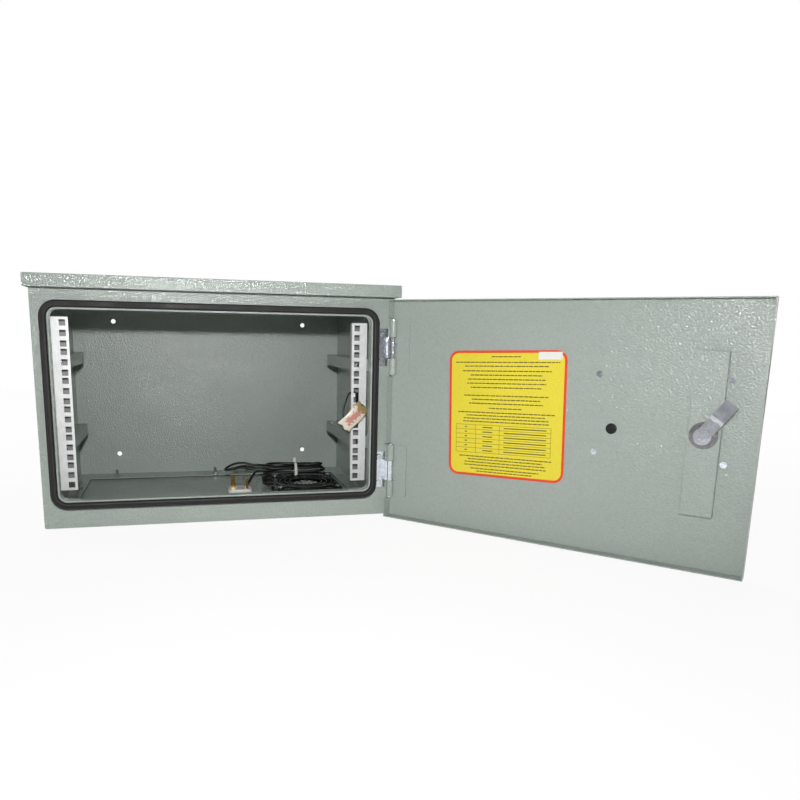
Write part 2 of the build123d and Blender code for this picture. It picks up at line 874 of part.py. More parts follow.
def make_key_packet():
    outline = RectangleRounded(packet_length, packet_width, packet_round)
    slab = Pos(0, packet_thickness / 2, 0) * Rot(90, 0, 0) * extrude(outline, packet_thickness)
    return packet_place(0, packet_depth - packet_thickness / 2) * slab


def make_door_keys():
    """Two flat keys behind the packet, one behind the other, with their bows out of its upper end."""
    keys = []
    for number, turn in enumerate((-key_spread / 2, key_spread / 2)):
        bow = Circle(key_bow_radius) - Pos(key_bow_radius / 2, 0) * Circle(key_bow_hole)
        blade = Pos(-key_bow_radius - key_blade_length / 2 + overrun, 0) * Rectangle(key_blade_length,
                                                                                     key_blade_width)
        flat = Rot(90, 0, 0) * extrude(bow + blade, key_thickness)
        depth = packet_depth + (number + 1) * key_thickness
        keys.append(packet_place(key_slide, depth) * Rot(0, turn, 0) * flat)
    return group(keys)


def make_key_tie():
    """A strap that lies on the lower edge of a rail hole, goes round the keys and ends in its head."""
    edge = rail_hole_height(strap_hole) - square_hole / 2
    lie = edge + strap_radius
    strap = swept_cord([(strap_x, strap_front, lie), (strap_x, strap_back, lie)] + strap_points, strap_radius)
    tail_x, tail_y, tail_z = strap_points[-1]
    middle = Pos((strap_x + tail_x) / 2, (strap_front + tail_y) / 2, (lie + tail_z) / 2)
    return strap + middle * Box(strap_head, strap_head, lie - tail_z + 2 * strap_radius)


def opened(shape):
    """A door piece turned from closed to its open rest place."""
    return shape.rotate(pin_axis, open_angle)


def write(shape, name):
    """Moves a piece to the cabinet's own frame and writes it."""
    export_step(Pos(0, -body_depth / 2, 0) * shape, os.path.join("parts", name + ".step"))


def main():
    os.makedirs("parts", exist_ok=True)
    write(make_body_wrap(), "body_wrap")
    write(make_front_frame(), "front_frame")
    write(make_back_panel(), "back_panel")
    write(make_roof_cap(), "roof_cap")
    write(make_floor_plate(), "floor_plate")
    write(make_plate_gasket(), "plate_gasket")
    write(make_door_seal(), "door_seal")
    for side, word in ((-1, "left"), (1, "right")):
        write(make_rack_rail(side), "rack_rail_" + word)
        write(make_rail_bracket(side, bracket_lower), "rail_bracket_" + word + "_lower")
        write(make_rail_bracket(side, bracket_upper), "rail_bracket_" + word + "_upper")
    write(make_rail_screws(), "rail_screws")
    write(make_hinge_screws(), "hinge_screws")
    for centre, word in ((hinge_lower, "lower"), (hinge_upper, "upper")):
        write(make_hinge_bracket(centre), "hinge_bracket_" + word)
        write(opened(make_hinge_leaf(centre)), "hinge_leaf_" + word)
    write(opened(make_hinge_pins()), "hinge_pins")
    write(opened(make_door_panel()), "door_panel")
    write(opened(make_lock_box()), "lock_box")
    write(opened(make_lock_barrel()), "lock_barrel")
    write(opened(make_lock_nut()), "lock_nut")
    write(opened(make_lock_cam()), "lock_cam")
    write(opened(make_cam_screw()), "cam_screw")
    write(opened(make_door_bolts()), "door_bolts")
    write(opened(make_hole_plug()), "hole_plug")
    write(opened(make_door_label()), "door_label")
    write(make_fan_frame(), "fan_frame")
    write(make_fan_rotor(), "fan_rotor")
    write(make_hub_label(), "hub_label")
    write(make_fan_guard(), "fan_guard")
    write(make_fan_screws(), "fan_screws")
    write(make_fan_lead(), "fan_lead")
    write(swept_cord(loop_points, cord_radius), "cord_loop")
    write(swept_cord(plug_lead_points, cord_radius), "plug_lead")
    write(make_cord_hank(), "cord_hank")
    write(make_hank_tie(), "hank_tie")
    write(make_plug_body(), "plug_body")
    write(make_plug_pins(), "plug_pins")
    write(make_floor_studs(), "floor_studs")
    write(make_key_packet(), "key_packet")
    write(make_door_keys(), "door_keys")
    write(make_key_tie(), "key_tie")


main()
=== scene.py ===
# %% [markdown]
# # An outdoor wall-mount equipment cabinet, standing open
#
# The cabinet itself was made in CAD: every sheet, rail, hinge and screw is already a solid of its real size.
# This file dresses that model. It gives each piece its finish, winds the fan's cord, prints the label, and
# sets up the camera and the light. The CAD pieces are never moved, so every new piece takes its place from
# them.

# %% Load the cabinet
import json
import math
import bmesh
import bpy
from mathutils import Matrix, Vector


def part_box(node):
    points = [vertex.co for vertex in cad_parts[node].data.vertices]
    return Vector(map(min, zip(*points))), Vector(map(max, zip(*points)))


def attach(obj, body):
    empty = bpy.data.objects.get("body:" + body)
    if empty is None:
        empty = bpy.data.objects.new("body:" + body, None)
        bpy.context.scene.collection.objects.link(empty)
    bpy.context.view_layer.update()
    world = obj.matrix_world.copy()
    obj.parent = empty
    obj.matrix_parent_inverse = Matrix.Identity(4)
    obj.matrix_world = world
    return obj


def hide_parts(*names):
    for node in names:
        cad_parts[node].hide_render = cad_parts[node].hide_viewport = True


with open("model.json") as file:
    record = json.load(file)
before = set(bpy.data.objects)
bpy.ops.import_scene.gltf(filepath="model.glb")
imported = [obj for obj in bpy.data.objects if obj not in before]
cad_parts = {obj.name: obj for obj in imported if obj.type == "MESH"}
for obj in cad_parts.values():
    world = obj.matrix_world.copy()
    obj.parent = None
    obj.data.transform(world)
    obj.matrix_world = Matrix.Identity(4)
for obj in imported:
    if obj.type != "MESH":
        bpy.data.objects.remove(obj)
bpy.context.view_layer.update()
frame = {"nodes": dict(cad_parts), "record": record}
nodes = frame["nodes"]

# %% [markdown]
# ## Camera
#
# A camera is described by where it stands, which way it looks and how long its lens is. These values were
# found by matching the rack holes, the body's edges and the door with their places in the photograph. The
# lens axis doesn't pass through the middle of the picture, probably because the picture was cropped, so the
# camera gets a small shift. The alternative, turning the camera until the cabinet is in place, would make the
# upright edges lean in another way.

# %% Camera
picture_pixels = 800
lens_pixels = 715.0
axis_pixel = (367.0, 474.3)
sensor_width = 36.0
camera_place = Vector((-0.0690, -1.3491, 0.3062))
camera_pitch, camera_yaw, camera_roll = 0.1965, -0.2587, 0.0193


def place_object(name, data):
    """A new object in the scene that shows this data."""
    made = bpy.data.objects.new(name, data)
    bpy.context.scene.collection.objects.link(made)
    return made


camera_data = bpy.data.cameras.new("photo_camera")
camera_data.sensor_width = sensor_width
camera_data.lens = lens_pixels / picture_pixels * sensor_width
camera_data.shift_x = (picture_pixels / 2 - axis_pixel[0]) / picture_pixels
camera_data.shift_y = (axis_pixel[1] - picture_pixels / 2) / picture_pixels
level_look = Matrix(((1, 0, 0), (0, 0, 1), (0, -1, 0)))
lean = Matrix.Rotation(-camera_roll, 3, "Z") @ Matrix.Rotation(camera_pitch, 3, "X")
turn = lean @ Matrix.Rotation(-camera_yaw, 3, "Y") @ level_look
camera = place_object("photo_camera", camera_data)
camera.matrix_world = Matrix.Translation(camera_place) @ turn.transposed().to_4x4()
bpy.context.scene.camera = camera
print("camera lens", round(camera_data.lens, 2), "mm")

# %% [markdown]
# ## Helpers for nodes
#
# Materials are small graphs of nodes. Writing each node and each wire by hand takes three lines apiece, so
# a few helpers do it: they add a node and fill its sockets, work out a sum, change a range, mix two
# colours, and start a group or a material. A socket can be given a plain value or the output of another
# node.

# %% Node helpers
MIX_FIRST, MIX_SECOND, MIX_RESULT = 6, 7, 2


def fill(tree, socket, value):
    """Gives a socket a plain value, or wires another node's output to it."""
    if isinstance(value, bpy.types.NodeSocket):
        tree.links.new(value, socket)
    else:
        socket.default_value = value


def add_node(tree, kind, values=None, **options):
    """A node with its options set and its sockets filled."""
    made = tree.nodes.new(kind)
    for name, value in options.items():
        setattr(made, name, value)
    for name, value in (values or {}).items():
        fill(tree, made.inputs[name], value)
    return made


def sum_node(tree, operation, first, second=0.0):
    """A Math node, as the output that carries its result."""
    return add_node(tree, "ShaderNodeMath", {0: first, 1: second}, operation=operation).outputs[0]


def mapped(tree, value, low, high, start=0.0, end=1.0):
    """An output that runs from low to high while the value runs from start to end."""
    limits = {"Value": value, "From Min": start, "From Max": end, "To Min": low, "To Max": high}
    return add_node(tree, "ShaderNodeMapRange", limits).outputs["Result"]


def mixed(tree, factor, first, second, blend="MIX"):
    """Two colours mixed or blended, as the output that carries the result."""
    made = add_node(tree, "ShaderNodeMix", {"Factor": factor}, data_type="RGBA", blend_type=blend)
    fill(tree, made.inputs[MIX_FIRST], first)
    fill(tree, made.inputs[MIX_SECOND], second)
    return made.outputs[MIX_RESULT]


def new_group(name, inputs, outputs):
    """An empty node group with named sockets: its tree, its input node and its output node."""
    tree = bpy.data.node_groups.new(name, "ShaderNodeTree")
    for label, kind in inputs:
        tree.interface.new_socket(label, in_out="INPUT", socket_type=kind)
    for label, kind in outputs:
        tree.interface.new_socket(label, in_out="OUTPUT", socket_type=kind)
    return tree, tree.nodes.new("NodeGroupInput"), tree.nodes.new("NodeGroupOutput")


def use_group(tree, group, values):
    """A group placed in a material, with its sockets filled."""
    made = tree.nodes.new("ShaderNodeGroup")
    made.node_tree = group
    for name, value in values.items():
        fill(tree, made.inputs[name], value)
    return made


def new_material(name, colour, roughness, metallic=0.0):
    """A material with plain values: itself, its tree and its shader."""
    made = bpy.data.materials.new(name)
    made.use_nodes = True
    shader = made.node_tree.nodes["Principled BSDF"]
    shader.inputs["Base Color"].default_value = (*colour, 1)
    shader.inputs["Roughness"].default_value = roughness
    shader.inputs["Metallic"].default_value = metallic
    return made, made.node_tree, shader


def object_place(tree):
    return tree.nodes.new("ShaderNodeTexCoord").outputs["Object"]


def tinted(tree, shader, colour, tone):
    """The shader's colour, made lighter or darker over the surface by a tone around 1."""
    shaded = mixed(tree, 1.0, (*colour, 1), tone, "MULTIPLY")
    tree.links.new(shaded, shader.inputs["Base Color"])


def bumped(tree, shader, height, strength, depth):
    bump = add_node(tree, "ShaderNodeBump", {"Strength": strength, "Distance": depth, "Height": height})
    tree.links.new(bump.outputs["Normal"], shader.inputs["Normal"])


print("helpers ready")

# %% [markdown]
# ## Shared surface effects
#
# Three effects come back in several finishes. The powder coat has a hammered texture: dimples of nearly three
# millimetres, each catching the light differently. Handling leaves broad, faint marks that change the gloss.
# Rolled and plated metal has fine lines. Each effect is a node group, so one change shows on every piece that
# uses it. A painted picture could do the same, but it would blur close up, and these patterns have no
# resolution.

# %% Hammered coat, handling marks and rolled lines
VECTOR, NUMBER = "NodeSocketVector", "NodeSocketFloat"

tree, given, result = new_group("hammered_coat", [("Place", VECTOR), ("Dimples", NUMBER)],
                                [("Height", NUMBER), ("Tone", NUMBER)])
pattern = {"Vector": given.outputs["Place"], "Scale": given.outputs["Dimples"]}
grain = add_node(tree, "ShaderNodeTexNoise", {**pattern, "Detail": 2.0, "Roughness": 0.55})
cells = add_node(tree, "ShaderNodeTexVoronoi", pattern)
hollow = sum_node(tree, "MULTIPLY", sum_node(tree, "POWER", cells.outputs["Distance"], 2.0), 0.6)
height = sum_node(tree, "SUBTRACT", grain.outputs["Fac"], hollow)
tree.links.new(height, result.inputs["Height"])
tree.links.new(mapped(tree, cells.outputs["Color"], 0.95, 1.05), result.inputs["Tone"])
hammered_coat = tree

tree, given, result = new_group("handling_marks", [("Place", VECTOR), ("Marks", NUMBER), ("Low", NUMBER),
                                                   ("High", NUMBER)], [("Value", NUMBER)])
pattern = {"Vector": given.outputs["Place"], "Scale": given.outputs["Marks"]}
cloud = add_node(tree, "ShaderNodeTexNoise", {**pattern, "Detail": 5.0, "Roughness": 0.6})
spread = mapped(tree, cloud.outputs["Fac"], given.outputs["Low"], given.outputs["High"], 0.3, 0.7)
tree.links.new(spread, result.inputs["Value"])
handling_marks = tree

tree, given, result = new_group("rolled_lines", [("Place", VECTOR), ("Lines", VECTOR)],
                                [("Height", NUMBER), ("Tone", NUMBER)])
stretched = add_node(tree, "ShaderNodeVectorMath", {0: given.outputs["Place"], 1: given.outputs["Lines"]},
                     operation="MULTIPLY")
lines = add_node(tree, "ShaderNodeTexNoise", {"Vector": stretched.outputs["Vector"], "Scale": 1.0,
                                              "Detail": 3.0})
tree.links.new(lines.outputs["Fac"], result.inputs["Height"])
tree.links.new(mapped(tree, lines.outputs["Fac"], 0.9, 1.06, 0.25, 0.75), result.inputs["Tone"])
rolled_lines = tree

print("groups", [group.name for group in bpy.data.node_groups])

# %% [markdown]
# ## Powder-coated steel
#
# The whole body and the door are coated in a grey-green hammertone. It is a paint, so it isn't metallic: its
# sparkle comes from the small dimples, which the bump makes, and from a gloss that is high enough for each to
# glint. The colour comes from the photograph, where the light is even, and is written in linear values.

# %% Powder-coated steel
coat_colour = (0.355, 0.400, 0.365)
coat_dimples = 370.0
coat_dimple_depth = 0.00065
coat_marks = 14.0
coat_glossy, coat_dull = 0.11, 0.18

coat, tree, shader = new_material("hammertone_coat", coat_colour, coat_dull)
here = object_place(tree)
hammer = use_group(tree, hammered_coat, {"Place": here, "Dimples": coat_dimples})
tinted(tree, shader, coat_colour, hammer.outputs["Tone"])
marks = use_group(tree, handling_marks, {"Place": here, "Marks": coat_marks, "Low": coat_glossy,
                                         "High": coat_dull})
tree.links.new(marks.outputs["Value"], shader.inputs["Roughness"])
bumped(tree, shader, hammer.outputs["Height"], 1.0, coat_dimple_depth)
print("coat with", coat_dimples, "dimples a metre")

# %% [markdown]
# ## Metals
#
# The rails are galvanised, the hinges, screws and lock parts are zinc-plated, the lock's barrel is chrome and
# the plug's pins and the keys are brass. They differ in colour, in gloss and in how fine their rolled lines
# are. Galvanised sheet is matt, so its shader is only partly metallic. The rails' holes look dark in the
# photograph, so painted shade darkens a rail's colour behind its front face, where its channel is in shadow.
# The film on the fan's hub has fine rings as a real bump, and light and dark rays painted into its colour: a
# painted highlight that shows as a star.

# %% Metals
dull_marks, gloss_marks = 110.0, 60.0
dull_brightest = 1.1
line_strength = 0.3
# Painted shade inside the rails' channels: how dark it gets, and over what depth it fades in.
painted_shade_tone, painted_shade_fade = 0.3, 0.001
rail_face_depth = 0.0025


def metal(name, colour, low, high, lines, depth, dull=0.8, metallic=1.0, shade_from=None):
    """A metal with rolled lines and a varying gloss, and painted shade behind a place on Y where one is
    given.
    """
    made, tree, shader = new_material(name, colour, high, metallic)
    here = object_place(tree)
    rolled = use_group(tree, rolled_lines, {"Place": here, "Lines": lines})
    dulled = use_group(tree, handling_marks, {"Place": here, "Marks": dull_marks, "Low": dull,
                                              "High": dull_brightest})
    tone = sum_node(tree, "MULTIPLY", rolled.outputs["Tone"], dulled.outputs["Value"])
    if shade_from is not None:
        # Painted shade: the colour darkens behind the given place on Y, where the rail's channel lies in
        # shadow.
        behind = add_node(tree, "ShaderNodeSeparateXYZ", {"Vector": here}).outputs["Y"]
        shaded = mapped(tree, behind, 1.0, painted_shade_tone, shade_from, shade_from + painted_shade_fade)
        tone = sum_node(tree, "MULTIPLY", tone, shaded)
    tinted(tree, shader, colour, tone)
    marks = use_group(tree, handling_marks, {"Place": here, "Marks": gloss_marks, "Low": low, "High": high})
    tree.links.new(marks.outputs["Value"], shader.inputs["Roughness"])
    bumped(tree, shader, rolled.outputs["Height"], line_strength, depth)
    return made


# The painted shade starts just behind the rail's front face.
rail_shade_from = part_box("rack_rail_left")[0].y + rail_face_depth
galvanised = metal("galvanised_steel", (0.80, 0.81, 0.81), 0.36, 0.5, (900, 900, 60), 0.00004, 0.95, 0.3,
                   rail_shade_from)
zinc = metal("zinc_plate", (0.82, 0.86, 0.92), 0.08, 0.16, (420, 420, 160), 0.0008)
nut_steel = metal("nut_steel", (0.30, 0.30, 0.31), 0.14, 0.28, (700, 700, 120), 0.00006)
chrome = metal("chrome_plate", (0.60, 0.64, 0.69), 0.05, 0.10, (400, 400, 400), 0.00002)
brass = metal("brass", (0.66, 0.43, 0.15), 0.2, 0.32, (500, 500, 200), 0.00003)

hub_low, hub_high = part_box("hub_label")
hub_centre = (hub_low + hub_high) / 2
film_colour = (0.95, 0.95, 0.93)
# The film's rays are a painted highlight, a star of glint in its colour; its rings are a real bump.
painted_glint_rays = 8
film_rings = 620.0
painted_glint_dark, painted_glint_light = 0.04, 1.0
ring_strength, ring_depth = 0.3, 0.00003
film, tree, shader = new_material("film_with_painted_glint", film_colour, 0.25, 0.2)
centred = add_node(tree, "ShaderNodeMapping", {"Vector": object_place(tree), "Location": -hub_centre})
around = add_node(tree, "ShaderNodeTexGradient", {"Vector": centred.outputs["Vector"]},
                  gradient_type="RADIAL")
# Painted highlight: light and dark rays in the film's colour stand in for the lamp's glint on the hub.
painted_glint_swing = sum_node(tree, "SINE", sum_node(tree, "MULTIPLY", around.outputs["Fac"], 2 * math.pi * painted_glint_rays))
tinted(tree, shader, film_colour, mapped(tree, painted_glint_swing, painted_glint_dark, painted_glint_light, -0.5, 0.7))
rings = add_node(tree, "ShaderNodeTexWave", {"Vector": centred.outputs["Vector"], "Scale": film_rings},
                 wave_type="RINGS", rings_direction="Z")
bumped(tree, shader, rings.outputs["Fac"], ring_strength, ring_depth)
print("metals ready, hub film centred at", [round(value, 3) for value in hub_centre])

# %% [markdown]
# ## Rubber, plastic, paper and ink
#
# The seal and the cord are rubber, and the fan, the keys' tie and the hole plug are black plastic. Black
# materials look dead if they have one value all over, so each gets a fine grain and a gloss that varies.
# The plug and the hank's tie are pale plastic, and the label is paper with three inks. All of them are one
# kind of shader with other values.

# %% Rubber, plastic, paper and ink
wear_marks = 40.0
grain_dark, grain_light = 0.8, 1.2
grain_strength = 0.25


def moulded(name, colour, low, high, grain_scale, depth, shine=0.5):
    """A rubber, plastic, paper or ink with a fine grain."""
    made, tree, shader = new_material(name, colour, high)
    shader.inputs["Specular IOR Level"].default_value = shine
    here = object_place(tree)
    marks = use_group(tree, handling_marks, {"Place": here, "Marks": wear_marks, "Low": low, "High": high})
    tree.links.new(marks.outputs["Value"], shader.inputs["Roughness"])
    grain = add_node(tree, "ShaderNodeTexNoise", {"Vector": here, "Scale": grain_scale, "Detail": 2.0})
    tinted(tree, shader, colour, mapped(tree, grain.outputs["Fac"], grain_dark, grain_light))
    bumped(tree, shader, grain.outputs["Fac"], grain_strength, depth)
    return made


seal_rubber = moulded("seal_rubber", (0.019, 0.018, 0.018), 0.45, 0.65, 900.0, 0.0001, 0.3)
cord_rubber = moulded("cord_rubber", (0.012, 0.012, 0.012), 0.3, 0.45, 1200.0, 0.00005, 0.4)
black_plastic = moulded("black_plastic", (0.012, 0.012, 0.013), 0.18, 0.30, 1500.0, 0.00006, 0.35)
white_plastic = moulded("white_plastic", (0.72, 0.72, 0.70), 0.25, 0.38, 1100.0, 0.00003)
yellow_paper = moulded("yellow_paper", (0.78, 0.65, 0.038), 0.4, 0.55, 800.0, 0.00002)
red_ink = moulded("red_ink", (0.76, 0.060, 0.018), 0.4, 0.5, 900.0, 0.00001)
dark_ink = moulded("dark_ink", (0.13, 0.10, 0.015), 0.45, 0.6, 900.0, 0.00001)
white_ink = moulded("white_ink", (0.80, 0.80, 0.77), 0.4, 0.5, 900.0, 0.00001)
print("rubbers, plastics, paper and inks ready")

# %% [markdown]
# ## Who wears what
#
# Each CAD piece belongs to one of the record's material slots, so the finish is chosen by slot and no piece
# is forgotten. A material replaces whatever came with the imported mesh. Only the lock's nut is duller than
# the rest of its slot.

# %% Dress the CAD pieces
finish_of_slot = {"coated_steel": coat, "galvanised_steel": galvanised, "zinc_plated_steel": zinc,
                  "chrome": chrome, "seal_rubber": seal_rubber, "black_plastic": black_plastic,
                  "silver_film": film, "cord_rubber": cord_rubber, "white_plastic": white_plastic,
                  "brass": brass, "yellow_paper": yellow_paper}


def dress(piece, material):
    piece.data.materials.clear()
    piece.data.materials.append(material)


for part in frame["record"]["subparts"]:
    dress(nodes[part["node"]], finish_of_slot[part["material_slot"]])
dress(nodes["lock_nut"], nut_steel)

# %% [markdown]
# ## The fan's cord
#
# The fan's lead is folded into a hank behind the fan: turns like a racetrack, one above the other, with one
# loop that sticks out on the left, and an end that runs to the plug. A cord is one curve with a round bevel.
# Its turns are worked out by a function, and its loop and its end follow the points of the CAD model. Every
# turn climbs, so that no strand lies in another, and in the middle the tie draws the strands together.

# %% Stations of the hank
body_half_depth = 0.212
cord_radius = 0.0023
hank_low, hank_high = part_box("cord_hank")
hank_x = (hank_low.x + hank_high.x) / 2
hank_y = (hank_low.y + hank_high.y) / 2
fold_radius = (hank_high.y - hank_low.y) / 2 - cord_radius
straight_half = (hank_high.x - hank_low.x) / 2 - fold_radius - cord_radius
tie_round = 0.012
tie_pull = 1.35
turn_uneven = 0.0025
turn_stations = 16
half_turn = turn_stations // 2


def spot(x, depth, z):
    """A place given in millimetres, with its depth counted from the cabinet's front."""
    return Vector((x / 1000, depth / 1000 - body_half_depth, z / 1000))


def drawn_in(height):
    """How far the tie draws a strand at this height in, because its ring has round corners."""
    room = tie_round - cord_radius
    over = max(hank_low.z + tie_round - height, height - hank_high.z + tie_round, 0)
    return room - math.sqrt(max(room ** 2 - over ** 2, 0))


def racetrack(step, shrink, height):
    """One of sixteen stations on a turn, from the left end along the front."""
    reach = straight_half - shrink
    held = fold_radius - tie_pull * drawn_in(height)
    front = [(-reach / 2, -fold_radius), (0, -held), (reach / 2, -fold_radius)]
    back = [(-x, -y) for x, y in front]
    right = [(reach + fold_radius * math.cos(angle), fold_radius * math.sin(angle))
             for angle in (math.radians(turned) for turned in (-90, -45, 0, 45, 90))]
    left = [(-x, -y) for x, y in right]
    stations = left[2:] + front + right + back + left[:2]
    x, y = stations[step % turn_stations]
    return Vector((hank_x + x, hank_y + y, height))


def climb(first, last, heights, shrink):
    """Points on the racetrack from one station to another, at heights given for each left and right end."""
    points = []
    for step in range(first, last + 1):
        below = min(step // half_turn, len(heights) - 2)
        share = step / half_turn - below
        height = heights[below] + (heights[below + 1] - heights[below]) * share
        uneven = turn_uneven * math.sin(2.3 * (step // turn_stations) + 1.1)
        points.append(racetrack(step, shrink + uneven, height / 1000))
    return points


print("hank", round(2 * fold_radius, 3), "m wide and", round(2 * straight_half, 3), "m between its folds")

# %% [markdown]
# ## Route of the cord
#
# The route is listed in the order in which the cord runs: out of the fan, round the lower turns, out and back
# along the loop, round the upper turn, through the hank and down to the plug. One curve follows it, so the
# cord has no joint, and its length can be measured.

# %% Cord
fan_low, fan_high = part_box("fan_lead")
cord_exit = Vector(((fan_low.x + fan_high.x) / 2, fan_low.y, (fan_low.z + fan_high.z) / 2))
lead_in = [cord_exit, spot(120, 238, 24.4), spot(120, 248, 24.2), spot(120, 258, 20.5), spot(119, 267, 15.5),
           spot(114, 277.5, 8.6), spot(102, 283.2, 6.2), spot(90, 279, 6.0)]
lower_turns = climb(0, 61, [6.2, 8.4, 11.8, 13.6, 17.0, 19.0, 26.9, 33.0, 38.5], 0.0027)
loop = [spot(108, 282.5, 37.6), spot(94, 279, 39.4), spot(82, 275, 42), spot(70, 275, 42),
        spot(48, 277, 47.5), spot(31, 275, 45), spot(18, 268, 40), spot(12.5, 259, 37), spot(18, 251, 38),
        spot(33, 250, 42.5), spot(50, 254, 45), spot(70, 257, 40), spot(82, 257, 40), spot(94, 252.5, 38.9),
        spot(106, 249.2, 38.2)]
upper_turn = climb(3, 22, [37.6, 39.4, 44.0, 44.4], 0.010)
inner_run = [spot(201.5, 252, 44.3), spot(206.5, 262.5, 44.2), spot(202.5, 273.5, 43.2),
             spot(190, 278.3, 41), spot(174, 275.8, 38.4), spot(150, 270, 36.2), spot(125, 265.2, 34),
             spot(104, 262.6, 32.6)]
plug_lead = [spot(82, 262, 32), spot(74, 262, 32), spot(65, 244, 27), spot(56, 223, 19), spot(46, 206, 13),
             spot(46, 192, 13)]
route = lead_in + lower_turns + loop + upper_turn + inner_run + plug_lead

curve = bpy.data.curves.new("fan_cord", "CURVE")
curve.dimensions = "3D"
line = curve.splines.new("NURBS")
line.points.add(len(route) - 1)
for point, place in zip(line.points, route):
    point.co = (*place, 1)
line.order_u = 3
line.use_endpoint_u = True
line.resolution_u = 6
curve.bevel_depth = cord_radius
curve.bevel_resolution = 4
curve.use_fill_caps = True
fan_cord = place_object("fan_cord", curve)
dress(fan_cord, cord_rubber)
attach(fan_cord, "cabinet")
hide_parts("fan_lead", "cord_loop", "plug_lead", "cord_hank")

# %% [markdown]
# ## Print on the door's label
#
# The label is a yellow sheet with a red border, and its print is only hinted at: plain bars for rows, a grid
# of bars and an empty white field. Print could be a texture, but a few flat shapes a twentieth of a
# millimetre thick stay sharp from any distance. All are made in the label's own plane and then turned with
# the door.

# %% Helpers for print
door_turn = math.radians(132)
label_tilt = math.radians(2.0)
label_low, label_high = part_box("door_label")
label_width, label_height, label_round = 0.185, 0.192, 0.015
border_width = 0.0038
paper_half = 0.00015
ink_thickness = 0.00005
label_place = (Matrix.Translation((label_low + label_high) / 2) @ Matrix.Rotation(door_turn, 4, "Z")
               @ Matrix.Rotation(label_tilt, 4, "Y"))


def mesh_object(name, mesh, material):
    """A piece made of a bmesh, dressed in a material."""
    data = bpy.data.meshes.new(name)
    mesh.to_mesh(data)
    mesh.free()
    made = place_object(name, data)
    dress(made, material)
    return made


def flat_face(mesh, corners):
    """A face on the label, from corners counted from its middle to the right and up."""
    return mesh.faces.new([mesh.verts.new((-right, paper_half, up)) for right, up in corners])


def finished_print(name, material, mesh, thickness):
    """Gives flat faces the thickness of ink, and puts them on the door."""
    made = bmesh.ops.extrude_face_region(mesh, geom=mesh.faces[:])
    raised = [item for item in made["geom"] if isinstance(item, bmesh.types.BMVert)]
    bmesh.ops.translate(mesh, verts=raised, vec=(0, thickness, 0))
    bmesh.ops.recalc_face_normals(mesh, faces=mesh.faces[:])
    bmesh.ops.transform(mesh, matrix=label_place, verts=mesh.verts[:])
    piece = mesh_object(name, mesh, material)
    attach(piece, "door")
    print(name, "has", len(piece.data.polygons), "faces")


def printed(name, material, shapes, thickness):
    mesh = bmesh.new()
    for corners in shapes:
        flat_face(mesh, corners)
    finished_print(name, material, mesh, thickness)


def bar(left, right, low, high):
    return [(left, low), (right, low), (right, high), (left, high)]


print("label", label_width, "by", label_height, "m")

# %% [markdown]
# ## Border, rows, grid and field
#
# The border is a sheet with bevelled corners that is inset, and its middle is taken out. A row is cut into
# bars of uneven length, as lines of print are. The lengths come from a sine, so that they look loose but
# are the same on every run.

# %% Label print
row_height, word_gap = 0.0016, 0.0009
word_shortest, word_spread = 0.002, 0.005
row_spread = 0.2
grid_line = 0.0005


def border():
    mesh = bmesh.new()
    half_width, half_height = label_width / 2, label_height / 2
    flat_face(mesh, bar(-half_width, half_width, -half_height, half_height))
    bmesh.ops.bevel(mesh, geom=mesh.verts[:], offset=label_round, offset_type="OFFSET", segments=6,
                    profile=0.5, affect="VERTICES", material=-1)
    sheet = mesh.faces[:][0]
    bmesh.ops.inset_region(mesh, faces=[sheet], thickness=border_width, use_boundary=True,
                           use_even_offset=True)
    bmesh.ops.delete(mesh, geom=[sheet], context="FACES")
    finished_print("label_border", red_ink, mesh, ink_thickness)


def row_bar(left, right, up):
    return bar(left, right, up - row_height / 2, up + row_height / 2)


def rows(first, count, pitch, widest):
    """Rows of dark bars, counted from the top one down."""
    shapes = []
    for row in range(count):
        edge = widest * (1 - row_spread * abs(math.sin(1.9 * row)))
        left = -edge
        while left < edge:
            length = word_shortest + word_spread * abs(math.sin(370 * left + 1.3 * row))
            shapes.append(row_bar(left, min(left + length, edge), first - row * pitch))
            left += length + word_gap
    return shapes


def grid(columns, low, high, count, line):
    """The lines of a table, across and up."""
    half = line / 2
    gap = (high - low) / count
    shapes = [bar(columns[0], columns[-1], up - half, up + half)
              for up in (low + (high - low) * row / count for row in range(count + 1))]
    for row in range(count):
        for x in columns:
            shapes.append(bar(x - half, x + half, low + row * gap + half, low + (row + 1) * gap - half))
    return shapes


blocks = (rows(0.0868, 1, 0, 0.023) + rows(0.0785, 2, 0.0058, 0.082) + rows(0.0655, 5, 0.0062, 0.070)
          + rows(0.0285, 3, 0.0060, 0.067) + rows(0.0095, 1, 0, 0.026) + rows(0.0028, 4, 0.0047, 0.077)
          + rows(-0.0655, 4, 0.0045, 0.074) + rows(-0.0845, 2, 0.0042, 0.055))
table_columns = (-0.080, -0.047, -0.008, 0.072)
table_low, table_high, table_rows = -0.0595, -0.0165, 6
table_pitch = (table_high - table_low) / table_rows
entries = [row_bar(centre - half, centre + half, up)
           for up in (table_low + table_pitch * (row + 0.5) for row in range(table_rows))
           for centre, half in ((-0.0635, 0.002), (-0.0275, 0.008), (0.032, 0.033))]
border()
printed("label_rows", dark_ink, blocks + entries, ink_thickness)
printed("label_grid", dark_ink, grid(table_columns, table_low, table_high, table_rows, grid_line),
        ink_thickness)
printed("label_field", white_ink, [bar(0.050, 0.085, 0.0825, 0.0935)], 2 * ink_thickness)

# %% [markdown]
# ## Finish of the key packet
#
# The keys hang on the right rail in a small film packet that is pale, with a reddish field in its middle
# and a gold end. The fields are found from the place on the packet, laid flat by a Mapping node, and a
# noise makes their edges ragged. The same noise creases the film.

